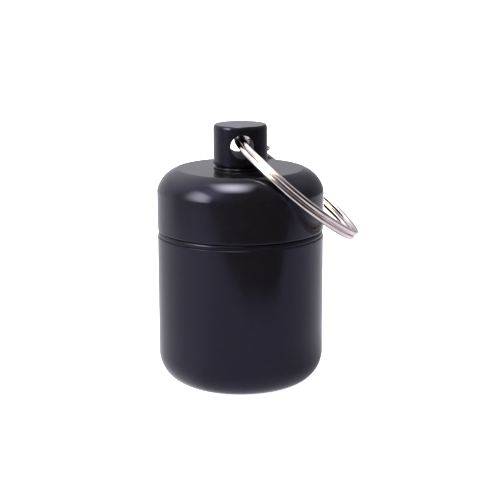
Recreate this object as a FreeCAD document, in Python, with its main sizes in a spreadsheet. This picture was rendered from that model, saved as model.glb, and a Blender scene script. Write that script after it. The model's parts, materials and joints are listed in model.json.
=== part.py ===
import FreeCAD, Part
import math
import os
import Sketcher

# A pill fob: a turned cup with a screw cap, a sealing ring between the two, a post on the cap with a cross
# hole, and a two-turn split ring through the hole.
# Frame: +Z up, origin at the centre of the foot, the cross hole along Y. Lengths in mm, angles in degrees.

# Driving sizes, one cell each
SIZES = {
    # cup
    "body_diameter": 27.0,
    "foot_width": 4.8,
    "foot_height": 4.8,
    "foot_bulge": 1.33,
    "container_height": 24.5,
    "edge_radius": 0.2,
    "floor_thickness": 1.6,
    "floor_corner_radius": 1.0,
    "neck_wall": 1.4,
    "neck_chamfer": 0.4,
    "neck_headroom": 2.55,
    # thread
    "thread_pitch": 1.5,
    "thread_depth": 0.6,
    "thread_base_share": 0.53,
    "thread_crest_share": 0.17,
    "thread_embed": 0.15,
    "thread_clearance": 0.15,
    "thread_run_in": 0.4,
    # seal between the rims
    "seal_band_height": 0.88,
    "seal_setback": 0.1,
    "seal_neck_clearance": 0.3,
    "seal_edge_radius": 0.3,
    "seal_clearance": 0.02,
    # cap
    "cap_wall": 1.35,
    "cap_side_height": 6.5,
    "shoulder_height": 3.48,
    "shoulder_width": 3.3,
    "shoulder_bulge": 0.65,
    "crown_thickness": 2.3,
    "mouth_chamfer": 0.3,
    # post on the cap
    "lug_diameter": 8.7,
    "lug_crown": 1.31,
    "lug_top_radius": 0.33,
    "lug_base_radius": 0.3,
    "lug_seat_clearance": 0.02,
    "hole_height": 3.9,
    "hole_clearance": 0.08,
    "hole_edge_radius": 0.25,
    "spigot_diameter": 4.0,
    "spigot_clearance": 0.02,
    "stake_overlap": 0.8,
    "stake_height": 0.8,
    "stake_chamfer": 0.4,
    # split ring and the way it hangs in the hole
    "ring_outer_diameter": 25.3,
    "wire_width": 1.18,
    "wire_thickness": 0.66,
    "wire_edge_radius": 0.25,
    "coil_gap": 0.42,
    "crossover_angle": 40.0,
    "crossover_start_angle": 78.0,
    "ring_tilt_angle": 2.99,
    "ring_yaw_angle": -3.59,
    "ring_rise": 0.529,
    "ring_reach": -0.673,
    "ring_rest_clearance": 0.06,
}

# Sizes that follow from the driving ones
DERIVED = {
    "body_radius": "body_diameter / 2",
    "rim_flat_radius": "body_radius - edge_radius",
    "foot_flat_radius": "body_radius - foot_width",
    "foot_chord_squared": "foot_width * foot_width + foot_height * foot_height",
    "foot_arc_radius": "foot_chord_squared / (8 * foot_bulge) + foot_bulge / 2",
    "container_edge_height": "container_height - edge_radius",
    "cap_rim": "container_height + seal_band_height",
    "cap_edge_height": "cap_rim + edge_radius",
    "shoulder_start": "cap_rim + cap_side_height",
    "cap_top": "shoulder_start + shoulder_height",
    "cap_flat_radius": "body_radius - shoulder_width",
    "shoulder_chord_squared": "shoulder_width * shoulder_width + shoulder_height * shoulder_height",
    "shoulder_arc_radius": "shoulder_chord_squared / (8 * shoulder_bulge) + shoulder_bulge / 2",
    "cap_ceiling": "cap_top - crown_thickness",
    "cap_root_radius": "body_radius - cap_wall",
    "cap_mouth_radius": "cap_root_radius + mouth_chamfer",
    "cap_mouth_height": "cap_rim + mouth_chamfer",
    "neck_root_radius": "cap_root_radius - thread_clearance - thread_depth",
    "neck_lip_radius": "neck_root_radius - neck_chamfer",
    "neck_top": "cap_ceiling - neck_headroom",
    "neck_chamfer_height": "neck_top - neck_chamfer",
    "bore_radius": "neck_root_radius - neck_wall",
    "floor_flat_radius": "bore_radius - floor_corner_radius",
    "floor_corner_height": "floor_thickness + floor_corner_radius",
    "thread_base_half": "thread_pitch * thread_base_share / 2",
    "thread_crest_half": "thread_pitch * thread_crest_share / 2",
    "neck_thread_height": "cap_rim + thread_run_in + thread_base_half",
    "thread_climb": "neck_chamfer_height - thread_base_half - neck_thread_height",
    "neck_thread_base_radius": "neck_root_radius - thread_embed",
    "neck_thread_crest_radius": "neck_root_radius + thread_depth",
    "neck_thread_base_low": "neck_thread_height - thread_base_half",
    "neck_thread_base_high": "neck_thread_height + thread_base_half",
    "neck_thread_crest_low": "neck_thread_height - thread_crest_half",
    "neck_thread_crest_high": "neck_thread_height + thread_crest_half",
    "cap_thread_height": "neck_thread_height + thread_pitch / 2",
    "cap_thread_base_radius": "cap_root_radius + thread_embed",
    "cap_thread_crest_radius": "cap_root_radius - thread_depth",
    "cap_thread_base_low": "cap_thread_height - thread_base_half",
    "cap_thread_base_high": "cap_thread_height + thread_base_half",
    "cap_thread_crest_low": "cap_thread_height - thread_crest_half",
    "cap_thread_crest_high": "cap_thread_height + thread_crest_half",
    "seal_low": "container_height + seal_clearance",
    "seal_high": "cap_rim - seal_clearance",
    "seal_inner_radius": "neck_root_radius + seal_neck_clearance",
    "seal_outer_radius": "body_radius - seal_setback",
    "seal_inner_flat_radius": "seal_inner_radius + seal_edge_radius",
    "seal_outer_flat_radius": "seal_outer_radius - seal_edge_radius",
    "seal_low_side": "seal_low + seal_edge_radius",
    "seal_high_side": "seal_high - seal_edge_radius",
    "spigot_radius": "spigot_diameter / 2",
    "spigot_hole_radius": "spigot_radius + spigot_clearance",
    "stake_radius": "spigot_radius + stake_overlap",
    "stake_flat_radius": "stake_radius - stake_chamfer",
    "stake_top": "cap_ceiling - lug_seat_clearance",
    "stake_bottom": "stake_top - stake_height",
    "stake_chamfer_height": "stake_bottom + stake_chamfer",
    "lug_radius": "lug_diameter / 2",
    "lug_base": "cap_top + lug_seat_clearance",
    "lug_base_side": "lug_base + lug_base_radius",
    "lug_base_flat_radius": "lug_radius - lug_base_radius",
    "hole_centre": "cap_top + hole_height",
    "lug_top_flat_radius": "lug_radius - lug_top_radius",
    "wire_radius": "ring_outer_diameter / 2 - wire_width / 2",
    "coil_step": "wire_thickness + coil_gap",
    "ring_half_thickness": "wire_thickness + coil_gap / 2",
}

doc = FreeCAD.newDocument("pill_fob")
sheet = doc.addObject("Spreadsheet::Sheet", "Sizes")


def fill(columns, cells):
    """Writes named cells of the sheet, each beside its name."""
    name_column, value_column = columns
    for row, (alias, content) in enumerate(cells.items(), 1):
        sheet.set(f"{name_column}{row}", alias)
        sheet.setAlias(f"{value_column}{row}", alias)
        sheet.set(f"{value_column}{row}", content)
    doc.recompute()


def size(alias):
    """The number that a cell of the sheet holds."""
    return float(sheet.get(alias))


fill("AB", {alias: str(value) for alias, value in SIZES.items()})
fill("CD", {alias: "=" + formula for alias, formula in DERIVED.items()})

X_AXIS = FreeCAD.Vector(1, 0, 0)
Y_AXIS = FreeCAD.Vector(0, 1, 0)
Z_AXIS = FreeCAD.Vector(0, 0, 1)


def arc_centre(start, end, radius, turn):
    """Centre of the arc from start to end; turn is 1 where it goes counter-clockwise and -1 clockwise."""
    chord = end - start
    rise = math.sqrt(max(radius ** 2 - chord.Length ** 2 / 4, 0))
    left = FreeCAD.Vector(-chord.y, chord.x, 0).normalize()
    return start + chord * 0.5 + left * (rise * turn)


# How the ring hangs. Tilt and yaw are its loose play in the hole, and lean is its swing about the hole's axis.
# The hole is as wide as the curved wire needs, and the ring leans until it rests on the cap's shoulder.
play = FreeCAD.Rotation(X_AXIS, size("ring_tilt_angle")) * FreeCAD.Rotation(Z_AXIS, size("ring_yaw_angle"))
hole_to_ring = FreeCAD.Vector(size("wire_radius") + size("ring_reach"), 0, size("ring_rise"))
hole_middle = FreeCAD.Vector(0, 0, size("hole_centre"))
shoulder_low = FreeCAD.Vector(size("body_radius"), size("shoulder_start"), 0)
shoulder_high = FreeCAD.Vector(size("cap_flat_radius"), size("cap_top"), 0)
shoulder_radius = size("shoulder_arc_radius")
shoulder_centre = arc_centre(shoulder_low, shoulder_high, shoulder_radius, 1)


def ring_edge_points():
    """Points on the rounded edges of the ring's outline, from the hole's middle, before it leans."""
    samples = 720
    corner = size("wire_edge_radius")
    diagonal = corner * (1 - math.sqrt(0.5))
    points = []
    for side_inset, face_inset in ((0, corner), (diagonal, diagonal), (corner, 0)):
        for side in (-1, 1):
            radius = size("wire_radius") + side * (size("wire_width") / 2 - side_inset)
            for face in (-1, 1):
                height = face * (size("ring_half_thickness") - face_inset)
                for index in range(samples):
                    turn = 2 * math.pi * index / samples
                    spot = FreeCAD.Vector(radius * math.cos(turn), radius * math.sin(turn), height)
                    points.append(play.multVec(hole_to_ring + spot))
    return points


def outside_cap(point):
    """Distance of a point from the cap's flat top, shoulder or side; negative inside the cap."""
    radius = math.hypot(point.x, point.y)
    distances = [point.z - shoulder_high.y, radius - shoulder_low.x]
    if radius > shoulder_centre.x and point.z > shoulder_centre.y:
        distances.append(math.hypot(radius - shoulder_centre.x, point.z - shoulder_centre.y) - shoulder_radius)
    return max(distances)


def resting_lean(points):
    """Angle at which the ring, let down from level, comes to its clearance from the cap."""
    low, high = 0, 90
    halvings = 24
    for _ in range(halvings):
        trial = (low + high) / 2
        swing = FreeCAD.Rotation(Y_AXIS, trial)
        nearest = min(outside_cap(hole_middle + swing.multVec(point)) for point in points)
        if nearest > size("ring_rest_clearance"):
            low = trial
        else:
            high = trial
    return low


edge_points = ring_edge_points()
hole_half_length = size("lug_radius") - size("hole_edge_radius")
in_lug = [p for p in edge_points if p.x < size("lug_radius") and abs(p.y) < hole_half_length]
wire_reach = max(math.hypot(point.x, point.z) for point in in_lug)
lean_angle = resting_lean(edge_points)
fill("EF", {
    "hole_radius": str(wire_reach + size("hole_clearance")),
    "lug_top": "=hole_centre + hole_radius + lug_crown",
    "lug_top_side": "=lug_top - lug_top_radius",
    "ring_lean_angle": str(lean_angle),
})
print(f"hole diameter {2 * size('hole_radius'):.3f} mm, lean {lean_angle:.2f} degrees, top {size('lug_top'):.2f} mm")


def drive(sketch, constraint, alias):
    """Adds a constraint whose value is read from a cell."""
    index = sketch.addConstraint(constraint)
    label = f"{alias}_{index}"
    sketch.renameConstraint(index, label)
    sketch.setExpression(f"Constraints.{label}", f"Sizes.{alias}")


def sketch_on_xz(body, name):
    """An empty sketch on the body's own XZ plane."""
    sketch = body.newObject("Sketcher::SketchObject", name)
    plane = next(item for item in body.Origin.OriginFeatures if item.Role == "XZ_Plane")
    sketch.AttachmentSupport = [(plane, "")]
    sketch.MapMode = "FlatFace"
    sketch.Visibility = False
    return sketch


def profile(body, name, corners):
    """Closed sketch through the corners.

    A corner is (x, y) or (x, y, radius, turn), where an arc of that radius arrives at it. x, y and radius are
    names of cells, and None is a coordinate on the axis.
    """
    sketch = sketch_on_xz(body, name)
    spots = [FreeCAD.Vector(size(c[0]) if c[0] else 0, size(c[1]) if c[1] else 0, 0) for c in corners]
    ends = []
    for index, corner in enumerate(corners):
        start, end = spots[index - 1], spots[index]
        if len(corner) == 2:
            edge = sketch.addGeometry(Part.LineSegment(start, end), False)
            ends.append((edge, 1, 2))
            continue
        radius, turn = corner[2:]
        centre = arc_centre(start, end, size(radius), turn)
        first, last = (start, end) if turn > 0 else (end, start)
        angles = [math.atan2(p.y - centre.y, p.x - centre.x) for p in (first, last)]
        circle = Part.Circle(centre, Z_AXIS, size(radius))
        edge = sketch.addGeometry(Part.ArcOfCircle(circle, *angles), False)
        ends.append((edge, 1, 2) if turn > 0 else (edge, 2, 1))
    for index, corner in enumerate(corners):
        edge, _, tail = ends[index]
        following, head, _ = ends[(index + 1) % len(corners)]
        sketch.addConstraint(Sketcher.Constraint("Coincident", edge, tail, following, head))
        for kind, alias, axis in (("DistanceX", corner[0], -2), ("DistanceY", corner[1], -1)):
            if alias is None:
                sketch.addConstraint(Sketcher.Constraint("PointOnObject", edge, tail, axis))
            else:
                drive(sketch, Sketcher.Constraint(kind, -1, 1, edge, tail, size(alias)), alias)
        if len(corner) > 2:
            drive(sketch, Sketcher.Constraint("Radius", edge, size(corner[2])), corner[2])
    return sketch


def turned(label, corners):
    """A body turned about Z from a closed profile."""
    body = doc.addObject("PartDesign::Body", label)
    body.Label = label
    sketch = profile(body, f"{label}_profile", corners)
    turning = body.newObject("PartDesign::Revolution", f"{label}_turning")
    turning.Profile = sketch
    turning.ReferenceAxis = (sketch, ["V_Axis"])
    turning.Angle = 360
    doc.recompute()
    return body


def threaded(body, prefix):
    """A right-hand ridge that winds up the body's wall."""
    sketch = profile(body, f"{prefix}_profile", [
        (f"{prefix}_base_radius", f"{prefix}_base_low"),
        (f"{prefix}_crest_radius", f"{prefix}_crest_low"),
        (f"{prefix}_crest_radius", f"{prefix}_crest_high"),
        (f"{prefix}_base_radius", f"{prefix}_base_high"),
    ])
    plain_volume = body.Shape.Volume
    ridge = body.newObject("PartDesign::AdditiveHelix", f"{prefix}_ridge")
    ridge.Profile = sketch
    ridge.ReferenceAxis = (sketch, ["V_Axis"])
    ridge.Mode = "pitch-height-angle"
    ridge.setExpression("Pitch", "Sizes.thread_pitch")
    ridge.setExpression("Height", "Sizes.thread_climb")
    doc.recompute()
    print(f"{prefix}: ridge adds {body.Shape.Volume - plain_volume:.2f} mm3")


# Cup: rounded foot, straight side, flat rim, and a threaded neck that the cap hides
container = turned("container", [
    (None, None),
    ("foot_flat_radius", None),
    ("body_radius", "foot_height", "foot_arc_radius", 1),
    ("body_radius", "container_edge_height"),
    ("rim_flat_radius", "container_height", "edge_radius", 1),
    ("neck_root_radius", "container_height"),
    ("neck_root_radius", "neck_chamfer_height"),
    ("neck_lip_radius", "neck_top"),
    ("bore_radius", "neck_top"),
    ("bore_radius", "floor_corner_height"),
    ("floor_flat_radius", "floor_thickness", "floor_corner_radius", -1),
    (None, "floor_thickness"),
])
threaded(container, "neck_thread")

# Sealing ring, squeezed between the two rims until it shows level with the sides
o_ring = turned("o_ring", [
    ("seal_inner_flat_radius", "seal_low", "seal_edge_radius", 1),
    ("seal_outer_flat_radius", "seal_low"),
    ("seal_outer_radius", "seal_low_side", "seal_edge_radius", 1),
    ("seal_outer_radius", "seal_high_side"),
    ("seal_outer_flat_radius", "seal_high", "seal_edge_radius", 1),
    ("seal_inner_flat_radius", "seal_high"),
    ("seal_inner_radius", "seal_high_side", "seal_edge_radius", 1),
    ("seal_inner_radius", "seal_low_side"),
])

# Cap: straight side, convex shoulder that meets the side and the flat top at crisp edges, inside thread
cap = turned("cap", [
    ("cap_mouth_radius", "cap_rim"),
    ("rim_flat_radius", "cap_rim"),
    ("body_radius", "cap_edge_height", "edge_radius", 1),
    ("body_radius", "shoulder_start"),
    ("cap_flat_radius", "cap_top", "shoulder_arc_radius", 1),
    ("spigot_hole_radius", "cap_top"),
    ("spigot_hole_radius", "cap_ceiling"),
    ("cap_root_radius", "cap_ceiling"),
    ("cap_root_radius", "cap_mouth_height"),
])
threaded(cap, "cap_thread")

# Post: a turned head on the cap, a spigot through the crown, and the end staked over under the ceiling
lug = turned("lug", [
    (None, "stake_bottom"),
    ("stake_flat_radius", "stake_bottom"),
    ("stake_radius", "stake_chamfer_height"),
    ("stake_radius", "stake_top"),
    ("spigot_radius", "stake_top"),
    ("spigot_radius", "lug_base"),
    ("lug_base_flat_radius", "lug_base"),
    ("lug_radius", "lug_base_side", "lug_base_radius", 1),
    ("lug_radius", "lug_top_side"),
    ("lug_top_flat_radius", "lug_top", "lug_top_radius", 1),
    (None, "lug_top"),
])
hole_sketch = sketch_on_xz(lug, "hole_circle")
hole_spot = FreeCAD.Vector(0, size("hole_centre"), 0)
circle = hole_sketch.addGeometry(Part.Circle(hole_spot, Z_AXIS, size("hole_radius")), False)
hole_sketch.addConstraint(Sketcher.Constraint("PointOnObject", circle, 3, -2))
drive(hole_sketch, Sketcher.Constraint("DistanceY", -1, 1, circle, 3, size("hole_centre")), "hole_centre")
drive(hole_sketch, Sketcher.Constraint("Radius", circle, size("hole_radius")), "hole_radius")
blank_volume = lug.Shape.Volume
hole = lug.newObject("PartDesign::Pocket", "cross_hole")
hole.Profile = hole_sketch
hole.Type = "ThroughAll"
hole.Midplane = True
doc.recompute()
print(f"cross hole: {blank_volume - lug.Shape.Volume:.2f} mm3 cut")


def is_hole_rim(edge):
    """True for an edge that lies on the hole's wall and on the side of the post."""
    tolerance_share = 0.001
    samples = 5
    for point in edge.discretize(samples):
        from_axis = math.hypot(point.x, point.z - size("hole_centre"))
        if abs(from_axis / size("hole_radius") - 1) > tolerance_share:
            return False
        if abs(math.hypot(point.x, point.y) / size("lug_radius") - 1) > tolerance_share:
            return False
    return True


rim_names = [f"Edge{i}" for i, edge in enumerate(hole.Shape.Edges, 1) if is_hole_rim(edge)]
rim_rounding = lug.newObject("PartDesign::Fillet", "hole_rims")
rim_rounding.Base = (hole, rim_names)
rim_rounding.setExpression("Radius", "Sizes.hole_edge_radius")
doc.recompute()
print(f"hole rims rounded: {len(rim_names)}")


def ring_point(angle, height):
    """Point of the wire's centre line, in the ring's own frame."""
    turn = math.radians(angle)
    return FreeCAD.Vector(size("wire_radius") * math.cos(turn), size("wire_radius") * math.sin(turn), height)


def ring_tangent(angle, slope):
    """Direction of the wire, where slope is its climb per radian."""
    turn = math.radians(angle)
    radius = size("wire_radius")
    return FreeCAD.Vector(-radius * math.sin(turn), radius * math.cos(turn), slope).normalize()


def tangent_arc(start, direction, end):
    """Arc that leaves start along direction and ends at end."""
    chord = end - start
    across = chord - direction * chord.dot(direction)
    bulge = chord.Length / 2 * math.tan(math.atan2(across.Length, chord.dot(direction)) / 2)
    side = chord * (chord.dot(direction) / chord.Length ** 2) - direction
    crown = start + chord * 0.5 - side.normalize() * bulge
    return Part.Arc(start, crown, end).toShape()


def biarc(start, leave, end, arrive):
    """Two arcs that join two points along two directions without a corner."""
    chord = end - start
    spread = 2 * (1 - leave.dot(arrive))
    along = chord.dot(leave + arrive)
    reach = (math.sqrt(along ** 2 + spread * chord.dot(chord)) - along) / spread
    middle = (start + leave * reach + end - arrive * reach) * 0.5
    return [tangent_arc(start, leave, middle), tangent_arc(end, arrive * -1, middle)]


# Split ring: one flat wire, two turns, with one crossover where it drops from the upper turn to the lower
crossover = size("crossover_angle")
crossover_end = size("crossover_start_angle") + crossover
half_step = size("coil_step") / 2
quarters = 4
quarter = (360 - crossover) / quarters
middle_slope = -3 * half_step / math.radians(crossover)
knots = [(crossover_end - 360 + quarter * i, half_step, 0) for i in range(quarters + 1)]
knots.append((crossover_end - crossover / 2, 0, middle_slope))
knots += [(crossover_end + quarter * i, -half_step, 0) for i in range(quarters + 1)]
path_edges = []
for (angle_a, height_a, slope_a), (angle_b, height_b, slope_b) in zip(knots, knots[1:]):
    path_edges += biarc(
        ring_point(angle_a, height_a), ring_tangent(angle_a, slope_a),
        ring_point(angle_b, height_b), ring_tangent(angle_b, slope_b),
    )
path = Part.Wire(Part.__sortEdges__(path_edges))


def wire_section():
    """Oblong with rounded corners, across the wire at its first end."""
    angle, height, _ = knots[0]
    middle = ring_point(angle, height)
    out = FreeCAD.Vector(middle.x, middle.y, 0).normalize()
    half_width = size("wire_width") / 2
    half_thickness = size("wire_thickness") / 2
    corner = size("wire_edge_radius")
    diagonal = corner * (1 - math.sqrt(0.5))
    turns = []
    for side, face in ((1, 1), (-1, 1), (-1, -1), (1, -1)):
        insets = [(0, corner), (diagonal, diagonal), (corner, 0)]
        if side != face:
            insets.reverse()
        turns.append([
            middle + out * (side * (half_width - a)) + Z_AXIS * (face * (half_thickness - b)) for a, b in insets
        ])
    edges = []
    for before, after in zip(turns[-1:] + turns, turns):
        edges.append(Part.LineSegment(before[-1], after[0]).toShape())
        edges.append(Part.Arc(*after).toShape())
    return Part.Wire(edges)


section = wire_section()
ring_shape = path.makePipeShell([section], True, False)
section_length = Part.Face(section).Area * path.Length
print(f"split ring: volume {ring_shape.Volume:.3f} mm3, section times length {section_length:.3f} mm3")


def least_coil_gap():
    """Least distance between the two turns, on points of the wire's two faces."""
    samples = 360
    third = samples // 3
    lift = Z_AXIS * (size("wire_thickness") / 2)
    spots = path.discretize(samples)
    return min((a - lift - b - lift).Length for i, a in enumerate(spots) for b in spots[i + third:])


print(f"split ring: least gap to itself {least_coil_gap():.3f} mm")
split_ring = doc.addObject("Part::Feature", "split_ring")
split_ring.Label = "split_ring"
split_ring.Shape = ring_shape
attitude = FreeCAD.Rotation(Y_AXIS, size("ring_lean_angle")) * play
split_ring.Placement = FreeCAD.Placement(hole_middle + attitude.multVec(hole_to_ring), attitude)
doc.recompute()

# Checks, then one file for each piece
for item in doc.Objects:
    if "Invalid" in item.State or "Error" in item.State:
        raise RuntimeError(f"{item.Name}: {item.State}")
pieces = [container, o_ring, cap, lug, split_ring]
for piece in pieces:
    if piece.Shape.isNull() or not piece.Shape.isValid() or len(piece.Shape.Solids) != 1:
        raise RuntimeError(f"{piece.Label}: not one valid solid")
os.makedirs("parts", exist_ok=True)
for piece in pieces:
    piece.Shape.exportStep(f"parts/{piece.Label}.step")
    box = piece.Shape.optimalBoundingBox()
    spans = f"{box.XLength:.2f} x {box.YLength:.2f} x {box.ZLength:.2f} mm"
    print(f"{piece.Label}: {spans}, z {box.ZMin:.2f} to {box.ZMax:.2f}, volume {piece.Shape.Volume:.1f} mm3")
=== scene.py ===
# %% [markdown]
# # A pill fob in black anodised aluminium
#
# The object is a small turned capsule for a key ring: a cup, a screw cap, a rubber seal between the two, a
# post on the cap with a cross hole, and a bright split ring through the hole. It could be dressed by giving
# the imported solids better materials, but the finish lives in its edges: a gloss black thing is seen almost
# only through its reflections, and those break at every corner. So each piece is made again here as a
# smooth mesh with its small edge roundings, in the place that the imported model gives.

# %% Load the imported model
import json
import math

import bpy
import numpy as np
from mathutils import Euler, Matrix, Vector


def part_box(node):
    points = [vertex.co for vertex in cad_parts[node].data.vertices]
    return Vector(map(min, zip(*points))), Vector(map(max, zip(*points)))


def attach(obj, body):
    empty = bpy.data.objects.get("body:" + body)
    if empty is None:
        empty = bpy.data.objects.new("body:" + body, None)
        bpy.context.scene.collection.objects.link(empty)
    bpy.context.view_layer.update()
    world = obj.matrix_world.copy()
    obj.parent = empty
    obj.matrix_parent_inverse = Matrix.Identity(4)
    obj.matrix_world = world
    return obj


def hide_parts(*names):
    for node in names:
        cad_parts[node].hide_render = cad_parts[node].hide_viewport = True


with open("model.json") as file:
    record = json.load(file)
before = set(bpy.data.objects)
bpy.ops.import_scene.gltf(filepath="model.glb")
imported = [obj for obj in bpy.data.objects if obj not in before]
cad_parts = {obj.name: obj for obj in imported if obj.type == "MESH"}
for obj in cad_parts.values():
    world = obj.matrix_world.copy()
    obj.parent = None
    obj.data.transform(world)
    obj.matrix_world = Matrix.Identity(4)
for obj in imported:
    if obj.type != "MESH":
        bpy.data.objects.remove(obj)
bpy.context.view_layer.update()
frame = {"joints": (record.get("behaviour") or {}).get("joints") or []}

# %% [markdown]
# ## Sizes
#
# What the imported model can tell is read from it: how wide and tall each piece is, and where the ring's
# hinge lies. Its boxes don't show what lies inside a piece, such as the bore of the cup, so those sizes are
# named here. They are in millimetres while the outlines are drawn, because that is how a turner reads them,
# and become metres when a mesh is made. Pieces that sit on each other keep a hair of clearance, so that no
# two skins share a place.

# %% Read the sizes
MM = 0.001


def heights_and_radius(node):
    """Lowest and highest point of a turned piece, and its radius, in millimetres."""
    low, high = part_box(node)
    return low.z / MM, high.z / MM, high.x / MM


foot_level, neck_top, body_radius = heights_and_radius("container")
seal_low, seal_high, seal_radius = heights_and_radius("o_ring")
cap_rim, cap_top, cap_radius = heights_and_radius("cap")
stake_bottom, lug_top, lug_radius = heights_and_radius("lug")
ring_hinge = next(joint for joint in frame["joints"] if joint["name"] == "ring_swing")
hole_centre = ring_hinge["pos_m"][2] / MM
seat_clearance = 0.02
cup_rim = seal_low - seat_clearance
print(f"body radius {body_radius:.2f}, cup rim {cup_rim:.2f}, cap {cap_rim:.2f} to {cap_top:.2f} mm")
print(f"post to {lug_top:.2f}, hole centre {hole_centre:.2f} mm")

# %% [markdown]
# ## Outlines
#
# A turned piece is one outline spun round an axis. An outline here is a list of corners, each with how far
# back from it the edge is broken, because no real edge is sharp: a lathe hand takes a file to it. A broken
# edge becomes a short curve. Long round stretches, such as the foot, are true arcs. Every outline runs so
# that the metal is on its left, which makes all faces look outwards later.

# %% Draw outlines
EDGE_STEPS = 6


def arc(start, end, bulge, steps, setback=0.0):
    """Corners along an arc, both ends included, that stands bulge to the right of its chord."""
    start, end = Vector(start), Vector(end)
    chord = end - start
    radius = chord.length ** 2 / (8 * bulge) + bulge / 2
    left = Vector((-chord.y, chord.x)).normalized()
    centre = (start + end) / 2 + left * (radius - bulge)
    spoke = start - centre
    sweep = 2 * math.asin(chord.length / 2 / radius)
    corners = []
    for step in range(steps + 1):
        turn = Matrix.Rotation(sweep * step / steps, 2)
        spot = centre + turn @ spoke
        at_end = step in (0, steps)
        corners.append((spot.x, spot.y, setback if at_end else 0.0))
    return corners


def run(start, end, steps):
    """Corners along a straight stretch, both ends left out."""
    spots = [Vector(start).lerp(Vector(end), step / steps) for step in range(1, steps)]
    return [(spot.x, spot.y, 0.0) for spot in spots]


def softened(corners):
    """The outline's points, with a short curve in place of each broken corner."""
    points = []
    for index, (radius, height, setback) in enumerate(corners):
        corner = Vector((radius, height))
        if not setback:
            points.append(corner)
            continue
        before = Vector(corners[index - 1][:2]) - corner
        after = Vector(corners[(index + 1) % len(corners)][:2]) - corner
        enter = corner + before.normalized() * setback
        leave = corner + after.normalized() * setback
        for step in range(EDGE_STEPS + 1):
            share = step / EDGE_STEPS
            points.append(enter.lerp(corner, share).lerp(corner.lerp(leave, share), share))
    return np.array(points)


print("an edge broken by", EDGE_STEPS, "steps")

# %% [markdown]
# ## From grid to mesh
#
# A turned piece and a drawn wire are both grids of points: along the outline or the wire one way, and round
# it the other. Blender could spin the outline with a Screw modifier and guess the shading from the faces.
# The grid itself knows better: the cross product of its two directions at a point is the surface's true
# direction there. These directions are kept as custom normals, so a long flat face stays flat right up to
# its broken edge, and the reflections run on without ripples.

# %% Make meshes from grids
SEGMENTS = 192
FULL_TURN = 2 * math.pi


def make_object(name, points, normals, faces):
    """A smooth mesh object from points in metres, with its own normals."""
    mesh = bpy.data.meshes.new(name)
    mesh.from_pydata([tuple(point) for point in points], [], faces)
    mesh.shade_smooth()
    mesh.normals_split_custom_set_from_vertices([tuple(normal) for normal in normals])
    made = bpy.data.objects.new(name, mesh)
    bpy.context.scene.collection.objects.link(made)
    print(f"{name}: {len(points)} points, {len(faces)} faces")
    return made


def grid_normals(grid, closed):
    """Direction of the surface at each point of a grid that goes round in its second direction."""
    around = np.roll(grid, -1, axis=1) - np.roll(grid, 1, axis=1)
    if closed:
        along = np.roll(grid, -1, axis=0) - np.roll(grid, 1, axis=0)
    else:
        padded = np.concatenate([grid[:1], grid, grid[-1:]])
        along = padded[2:] - padded[:-2]
    normals = np.cross(around, along)
    return normals / np.linalg.norm(normals, axis=2, keepdims=True)


def grid_faces(rows, columns, closed):
    """Four-sided faces of a grid, and one face to close each end where the rows don't come round again."""
    faces = []
    for row in range(rows if closed else rows - 1):
        following = (row + 1) % rows
        for column in range(columns):
            beside = (column + 1) % columns
            faces.append((row * columns + column, row * columns + beside,
                          following * columns + beside, following * columns + column))
    if not closed:
        faces.append(tuple(reversed(range(columns))))
        faces.append(tuple(range((rows - 1) * columns, rows * columns)))
    return faces


def spin(outline, angles):
    """Grid of an outline of (radius, height) points spun to each angle."""
    radius, height = outline[:, :1], outline[:, 1:]
    rounds = np.ones_like(angles)
    return np.stack([radius * np.cos(angles), radius * np.sin(angles), height * rounds], axis=2)


def turned(name, corners, closed=False, relief=None):
    """A piece turned from corners in millimetres; relief(heights, angles, radii) adds to the radius."""
    outline = softened(corners)
    angles = np.arange(SEGMENTS) * FULL_TURN / SEGMENTS
    grid = spin(outline, angles)
    if relief:
        raised = relief(outline[:, 1:], angles[None, :], outline[:, :1])
        grid[:, :, 0] += raised * np.cos(angles)
        grid[:, :, 1] += raised * np.sin(angles)
    rows = len(outline)
    points = grid.reshape(-1, 3) * MM
    normals = grid_normals(grid, closed).reshape(-1, 3)
    return make_object(name, points, normals, grid_faces(rows, SEGMENTS, closed))


print(SEGMENTS, "segments round a turned piece")

# %% [markdown]
# ## Screw thread
#
# Cup and cap hold together by a single-start right-hand thread. It hides under the cap, and shows when the
# cap is unscrewed. It could be a separate swept ridge sunk into the wall, but two skins that cross are
# untidy, so the wall itself is raised: how far a point lies from the winding ridge line says by how much.
# The cup's ridge stands outwards and the cap's inwards, half a pitch above it. A ridge fades in and out at
# its two ends, as a cutter leaves it.

# %% Shape the thread
thread_pitch = 1.5
thread_depth = 0.6
thread_base_half = 0.3975
thread_crest_half = 0.1275
thread_turns = 2.35
thread_fade = 0.1
thread_rows = 84
neck_root_radius = 11.4
cap_root_radius = 12.15
thread_lead = 0.8
neck_thread_start = cap_rim + thread_lead
cap_thread_start = neck_thread_start + thread_pitch / 2


def thread_relief(start, root_radius, depth):
    """A relief for turned: how far a wall of that radius is raised, for a ridge from a start height."""

    def relief(heights, angles, radii):
        raised = np.zeros(np.broadcast(heights, angles).shape)
        for lap in range(math.ceil(thread_turns)):
            turns = angles / FULL_TURN + lap
            distance = np.abs(heights - start - thread_pitch * turns)
            flank = (thread_base_half - distance) / (thread_base_half - thread_crest_half)
            to_end = np.minimum(turns, thread_turns - turns) / thread_fade
            raised = np.maximum(raised, np.clip(flank, 0, 1) * np.clip(to_end, 0, 1))
        return raised * depth * np.isclose(radii, root_radius)

    return relief


print(f"{thread_turns} turns at a pitch of {thread_pitch} mm")

# %% [markdown]
# ## Cup
#
# The cup is bored from a bar: a rounded foot that meets the floor in a small flat, a straight side, a flat
# rim for the seal, and a thinner threaded neck. The foot's arc meets the side and the flat at faint edges,
# as in the photograph, so only a hair of those corners is broken.

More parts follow.
